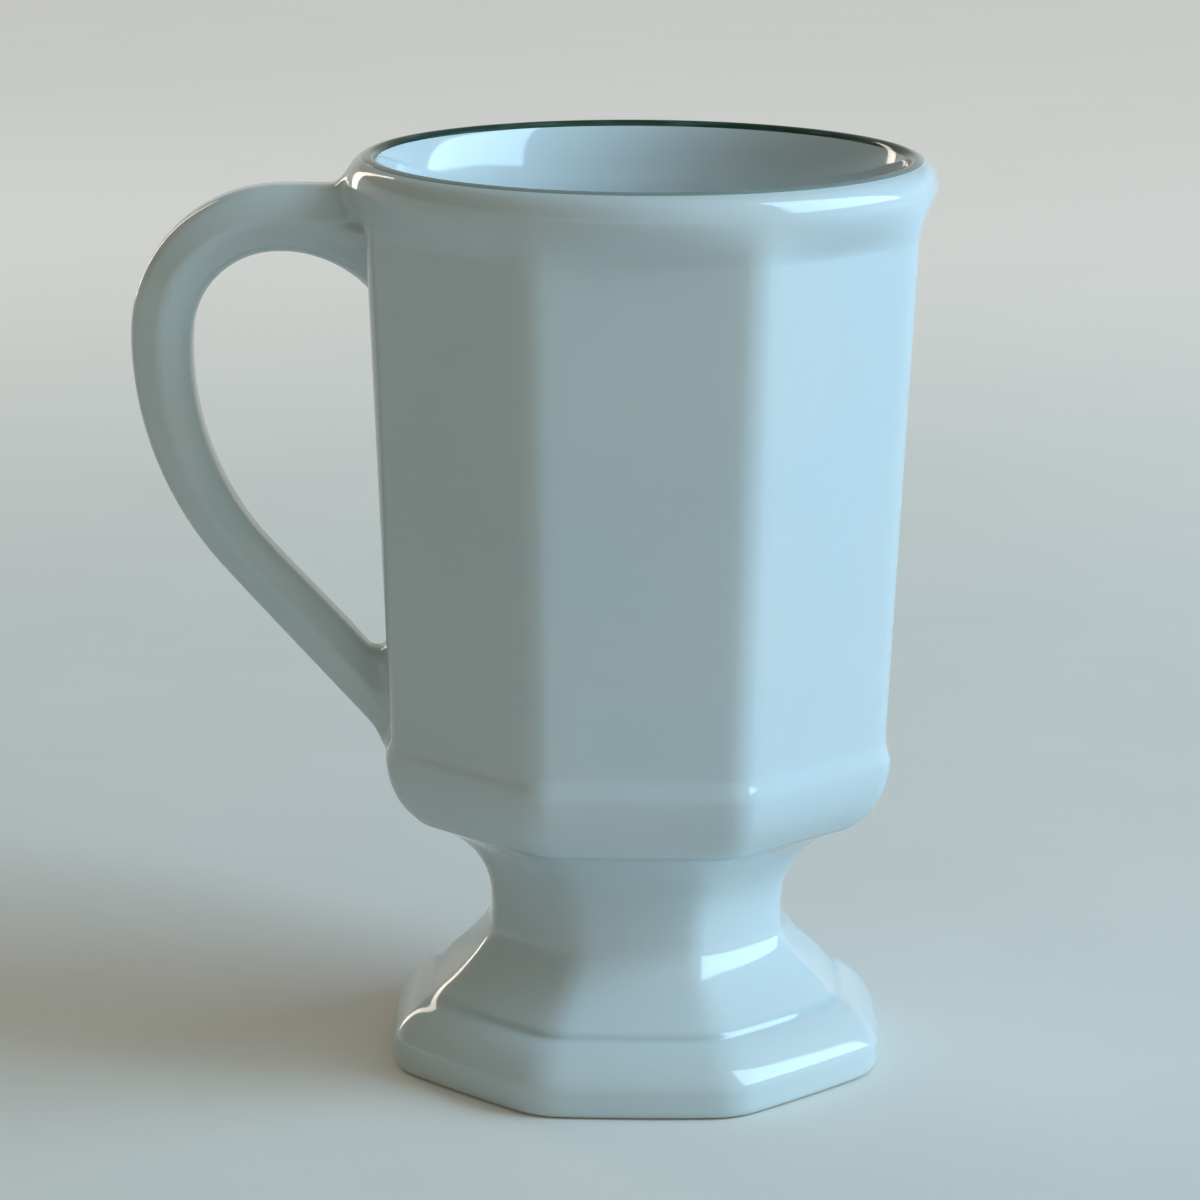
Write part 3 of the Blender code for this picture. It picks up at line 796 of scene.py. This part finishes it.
# Green underglaze: metal-oxide colour under clear gloss. It is nearly black where the brush lay thick and is
# streaked along the stroke; over the crown of the lip it turns a pale grey green, partly thin colour and
# partly painted sky reflection.
LINE_THICK = "0A3A2E"
LINE_THIN_AND_SHEEN = "7E9A97"
LINE_ROUGHNESS = 0.08
THICK_RADIUS = 41.0 * MM
THIN_AND_SHEEN_RADIUS = 41.9 * MM
STREAK_LENGTH = 9 * MM
STREAK_WIDTH = 0.5 * MM
STREAK_FROM = 0.5
STREAK_FULL = 0.8
STREAK_SHARE = 0.4
green_line = new_material("brushed_green_underglaze")
tree = green_line.node_tree
place = add_node(tree, "ShaderNodeTexCoord", {}, {}).outputs["Object"]
centred = add_node(tree, "ShaderNodeVectorMath", {"operation": "SUBTRACT"}, {0: place, 1: (AXIS_X, 0, 0)})
split = add_node(tree, "ShaderNodeSeparateXYZ", {}, {"Vector": centred.outputs["Vector"]})
turn = add_node(
    tree, "ShaderNodeMath", {"operation": "ARCTAN2"}, {0: split.outputs["Y"], 1: split.outputs["X"]}
)
stroke = add_node(
    tree, "ShaderNodeMath", {"operation": "MULTIPLY"}, {0: turn.outputs[0], 1: LIP_RADIUS / STREAK_LENGTH}
)
depth = add_node(
    tree, "ShaderNodeMath", {"operation": "MULTIPLY"}, {0: split.outputs["Z"], 1: 1 / STREAK_WIDTH}
)
brush = add_node(tree, "ShaderNodeCombineXYZ", {}, {"X": stroke.outputs[0], "Y": depth.outputs[0]})
streaks = add_node(
    tree, "ShaderNodeTexNoise", {}, {"Vector": brush.outputs["Vector"], "Scale": 1, "Detail": 3}
)
worn = add_node(
    tree,
    "ShaderNodeMapRange",
    {},
    {
        "Value": streaks.outputs["Fac"],
        "From Min": STREAK_FROM,
        "From Max": STREAK_FULL,
        "To Max": STREAK_SHARE,
    },
)
level_part = add_node(
    tree, "ShaderNodeVectorMath", {"operation": "MULTIPLY"}, {0: centred.outputs["Vector"], 1: (1, 1, 0)}
)
from_axis = add_node(tree, "ShaderNodeVectorMath", {"operation": "LENGTH"}, {0: level_part.outputs["Vector"]})
# Painted reflection: outward of the thick inner edge the line pales towards the crown, partly thin colour.
crown_sheen = add_node(
    tree,
    "ShaderNodeMapRange",
    {"interpolation_type": "SMOOTHSTEP"},
    {"Value": from_axis.outputs["Value"], "From Min": THICK_RADIUS, "From Max": THIN_AND_SHEEN_RADIUS},
)
thinned_and_sheen = add_node(
    tree,
    "ShaderNodeMath",
    {"operation": "ADD", "use_clamp": True},
    {0: worn.outputs["Result"], 1: crown_sheen.outputs["Result"]},
)
line_colour = add_node(
    tree,
    "ShaderNodeMix",
    {"data_type": "RGBA"},
    {MIX_SHARE: thinned_and_sheen.outputs[0], MIX_FIRST: linear(LINE_THICK), MIX_SECOND: linear(LINE_THIN_AND_SHEEN)},
)
shader = add_node(
    tree,
    "ShaderNodeBsdfPrincipled",
    {},
    {"Base Color": line_colour.outputs[MIX_RESULT], "Roughness": LINE_ROUGHNESS, "IOR": GLAZE_IOR},
)
tree.links.new(shader.outputs["BSDF"], tree.nodes["Material Output"].inputs["Surface"])
rim_line.data.materials.clear()
rim_line.data.materials.append(green_line)
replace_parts(rim_line, "rim_line")
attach(rim_line, "root")
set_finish(rim_line, "green_line")

# Floor: a plain pale table top, matt. It is lifted towards its own colour where it is seen, most of all far
# off, so that it stays pale in a dim room and keeps the shadow round the mug.
FLOOR_SIZE = 8.0
FLOOR_GREY = "DFDFDA"
FLOOR_PALE = "EAE9E4"
FLOOR_ROUGHNESS = 0.7
LIFT_NEAR = 0.05
LIFT_FAR = 0.5
NEAR_REACH = 0.2
FAR_REACH = 0.9
MOTTLE_SIZE = 60 * MM


def in_sight(tree):
    """One for a ray of sight, be it direct, mirrored or through glass, and nought for a ray of light."""
    rays = add_node(tree, "ShaderNodeLightPath", {}, {}).outputs
    seen = rays["Is Camera Ray"]
    for kind in ("Is Glossy Ray", "Is Transmission Ray"):
        seen = add_node(
            tree, "ShaderNodeMath", {"operation": "ADD", "use_clamp": True}, {0: seen, 1: rays[kind]}
        ).outputs[0]
    return seen


bpy.ops.object.select_all(action="DESELECT")
bpy.ops.mesh.primitive_plane_add(size=FLOOR_SIZE, location=(0, 0, 0))
floor = bpy.context.object
floor.name = "floor"
floor_paint = new_material("matt_pale_floor")
tree = floor_paint.node_tree
place = add_node(tree, "ShaderNodeTexCoord", {}, {}).outputs["Object"]
mottle = add_node(tree, "ShaderNodeTexNoise", {}, {"Vector": place, "Scale": 1 / MOTTLE_SIZE, "Detail": 4})
floor_colour = add_node(
    tree,
    "ShaderNodeMix",
    {"data_type": "RGBA"},
    {MIX_SHARE: mottle.outputs["Fac"], MIX_FIRST: linear(FLOOR_GREY), MIX_SECOND: linear(FLOOR_PALE)},
)
shader = add_node(
    tree,
    "ShaderNodeBsdfPrincipled",
    {},
    {"Base Color": floor_colour.outputs[MIX_RESULT], "Roughness": FLOOR_ROUGHNESS},
)
away = add_node(tree, "ShaderNodeVectorMath", {"operation": "LENGTH"}, {0: place})
paler = add_node(
    tree,
    "ShaderNodeMapRange",
    {"interpolation_type": "SMOOTHSTEP"},
    {
        "Value": away.outputs["Value"],
        "From Min": NEAR_REACH,
        "From Max": FAR_REACH,
        "To Min": LIFT_NEAR,
        "To Max": LIFT_FAR,
    },
)
lift = add_node(
    tree, "ShaderNodeMath", {"operation": "MULTIPLY"}, {0: in_sight(tree), 1: paler.outputs["Result"]}
)
glow = add_node(tree, "ShaderNodeEmission", {}, {"Color": linear(FLOOR_PALE)})
floor_mix = add_node(
    tree,
    "ShaderNodeMixShader",
    {},
    {0: lift.outputs[0], 1: shader.outputs["BSDF"], 2: glow.outputs["Emission"]},
)
tree.links.new(floor_mix.outputs["Shader"], tree.nodes["Material Output"].inputs["Surface"])
floor.data.materials.append(floor_paint)

# Light: a wide upright softbox at the right, which runs from close in front to far behind, and a narrow
# warm strip behind at the left, which edges the glaze. Only the half of the softbox under its diagonal is
# lit, so that it tapers to its far end.
SOFTBOX_NEAR = Vector((1.04, -0.62))
SOFTBOX_FAR = Vector((2.54, 1.30))
SOFTBOX_LOW_Z = 0.39
SOFTBOX_HIGH_Z = 1.70
SOFTBOX_POWER = 78
SOFTBOX_COLOUR = (0.50, 0.76, 1.0)
STRIP_NEAR = Vector((-0.56, 1.04))
STRIP_FAR = Vector((-0.68, 0.965))
STRIP_LOW_Z = 0.05
STRIP_HIGH_Z = 0.85
STRIP_POWER = 1.6
STRIP_COLOUR = (1.0, 0.87, 0.72)
for name, near, far, low_z, high_z, power, colour in (
    (
        "softbox",
        SOFTBOX_NEAR,
        SOFTBOX_FAR,
        SOFTBOX_LOW_Z,
        SOFTBOX_HIGH_Z,
        SOFTBOX_POWER,
        SOFTBOX_COLOUR,
    ),
    (
        "edge_strip",
        STRIP_NEAR,
        STRIP_FAR,
        STRIP_LOW_Z,
        STRIP_HIGH_Z,
        STRIP_POWER,
        STRIP_COLOUR,
    ),
):
    panel = bpy.data.lights.new(name, "AREA")
    panel.shape = "RECTANGLE"
    panel.size = (far - near).length
    panel.size_y = high_z - low_z
    panel.energy = power
    panel.color = colour
    stand = bpy.data.objects.new(name, panel)
    stand.location = (*(near + far) / 2, (low_z + high_z) / 2)
    stand.rotation_euler = (math.pi / 2, 0, math.atan2(*reversed(far - near)))
    stand.visible_camera = False
    bpy.context.scene.collection.objects.link(stand)
softbox = bpy.data.lights["softbox"]
softbox.use_nodes = True
tree = softbox.node_tree
spot = add_node(tree, "ShaderNodeNewGeometry", {}, {}).outputs["Parametric"]
split = add_node(tree, "ShaderNodeSeparateXYZ", {}, {"Vector": spot})
across_up = add_node(
    tree, "ShaderNodeMath", {"operation": "ADD"}, {0: split.outputs["X"], 1: split.outputs["Y"]}
)
lit = add_node(tree, "ShaderNodeMath", {"operation": "LESS_THAN"}, {0: across_up.outputs[0], 1: 1})
tree.links.new(lit.outputs[0], tree.nodes["Emission"].inputs["Strength"])

# Room: the dim walls that fill the shade, one soft glow for each side and a brighter one high up at the
# front right. Rays of sight see a pale wall at the horizon in their place.
ROOM_LEFT = (0.20, 0.165, 0.10)
ROOM_RIGHT = (0.06, 0.08, 0.09)
ROOM_FRONT = (0.13, 0.11, 0.08)
ROOM_BACK = (0.40, 0.39, 0.37)
ROOM_ABOVE = (0.11, 0.09, 0.06)
ROOM_SHARPNESS = 2
ROOM_GLOW = (0.58, 0.66, 0.58)
GLOW_AXIS = Vector((0.542, -0.455, 0.707))
GLOW_SHARPNESS = 4
WALL_PALE = "CFD2CE"
WALL_TOP = 0.12
WALL_FADE = 0.25
room = bpy.data.worlds.new("dim_room")
room.use_nodes = True
bpy.context.scene.world = room
tree = room.node_tree
direction = add_node(tree, "ShaderNodeTexCoord", {}, {}).outputs["Generated"]
room_colour = (0, 0, 0)
for axis, colour, sharpness in (
    ((-1, 0, 0), ROOM_LEFT, ROOM_SHARPNESS),
    ((1, 0, 0), ROOM_RIGHT, ROOM_SHARPNESS),
    ((0, -1, 0), ROOM_FRONT, ROOM_SHARPNESS),
    ((0, 1, 0), ROOM_BACK, ROOM_SHARPNESS),
    ((0, 0, 1), ROOM_ABOVE, ROOM_SHARPNESS),
    (GLOW_AXIS, ROOM_GLOW, GLOW_SHARPNESS),
):
    facing = add_node(tree, "ShaderNodeVectorMath", {"operation": "DOT_PRODUCT"}, {0: direction, 1: axis})
    lobe = add_node(tree, "ShaderNodeMath", {"operation": "MAXIMUM"}, {0: facing.outputs["Value"], 1: 0})
    share = add_node(tree, "ShaderNodeMath", {"operation": "POWER"}, {0: lobe.outputs[0], 1: sharpness})
    room_colour = add_node(
        tree,
        "ShaderNodeVectorMath",
        {"operation": "MULTIPLY_ADD"},
        {0: share.outputs[0], 1: colour, 2: room_colour},
    ).outputs["Vector"]
rise = add_node(tree, "ShaderNodeSeparateXYZ", {}, {"Vector": direction}).outputs["Z"]
wall = add_node(
    tree,
    "ShaderNodeMapRange",
    {"interpolation_type": "SMOOTHSTEP"},
    {"Value": rise, "From Min": WALL_TOP, "From Max": WALL_FADE, "To Min": 1, "To Max": 0},
)
wall_share = add_node(
    tree, "ShaderNodeMath", {"operation": "MULTIPLY"}, {0: in_sight(tree), 1: wall.outputs["Result"]}
)
room_colour = add_node(
    tree,
    "ShaderNodeMix",
    {"data_type": "RGBA"},
    {MIX_SHARE: wall_share.outputs[0], MIX_FIRST: room_colour, MIX_SECOND: linear(WALL_PALE)},
).outputs[MIX_RESULT]
tree.links.new(room_colour, tree.nodes["Background"].inputs["Color"])

# Camera: the photograph's viewpoint, as fitted to the rim, the foot and the upright edges. It looks a little
# down on the mug from 0.7 m in front, through a long lens.
CAMERA_SPOT = Vector((AXIS_X - 4.8 * MM, -700.6 * MM, 233.3 * MM))
CAMERA_TURN = math.radians(-0.095)
CAMERA_DIP = math.radians(13.03)
CAMERA_ROLL = math.radians(0.374)
CAMERA_LENS = 140.4
CAMERA_FILM = 36
camera_data = bpy.data.cameras.new("camera")
camera_data.lens = CAMERA_LENS
camera_data.sensor_width = CAMERA_FILM
camera = bpy.data.objects.new("camera", camera_data)
bpy.context.scene.collection.objects.link(camera)
ahead = Vector(
    (
        math.sin(CAMERA_TURN) * math.cos(CAMERA_DIP),
        math.cos(CAMERA_TURN) * math.cos(CAMERA_DIP),
        -math.sin(CAMERA_DIP),
    )
)
level = ahead.cross(Vector((0, 0, 1))).normalized()
upright = level.cross(ahead)
right = level * math.cos(CAMERA_ROLL) + upright * math.sin(CAMERA_ROLL)
top = upright * math.cos(CAMERA_ROLL) - level * math.sin(CAMERA_ROLL)
camera.matrix_world = Matrix.Translation(CAMERA_SPOT) @ Matrix((right, top, -ahead)).transposed().to_4x4()
bpy.context.scene.camera = camera
bpy.context.scene.view_settings.view_transform = "Standard"
